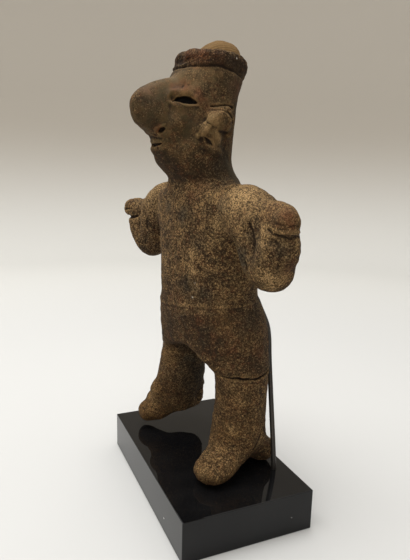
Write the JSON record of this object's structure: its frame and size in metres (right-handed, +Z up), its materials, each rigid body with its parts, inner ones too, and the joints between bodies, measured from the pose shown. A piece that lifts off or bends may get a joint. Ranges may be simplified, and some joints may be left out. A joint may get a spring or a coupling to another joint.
{
  "type": "standing clay figure on a plinth",
  "caption": "Fired-clay standing figure with a large nose, headband, folded arms held out and a short skirt, on a black acrylic plinth with a steel support rod.",
  "frame": {"origin": "middle of the plinth's underside", "axes": "+Z up; the figure faces -Y and its own left side is at +X"},
  "size_m": [0.1838, 0.0934, 0.2884],
  "materials": {
    "fired_clay": "matt, granular, mottled",
    "black_acrylic": "mirror polished",
    "dark_steel": "dark satin"
  },
  "bodies": {
    "root": {"clay_figure": "fired_clay", "acrylic_plinth": "black_acrylic", "support_rod": "dark_steel"}
  },
  "joints": []
}
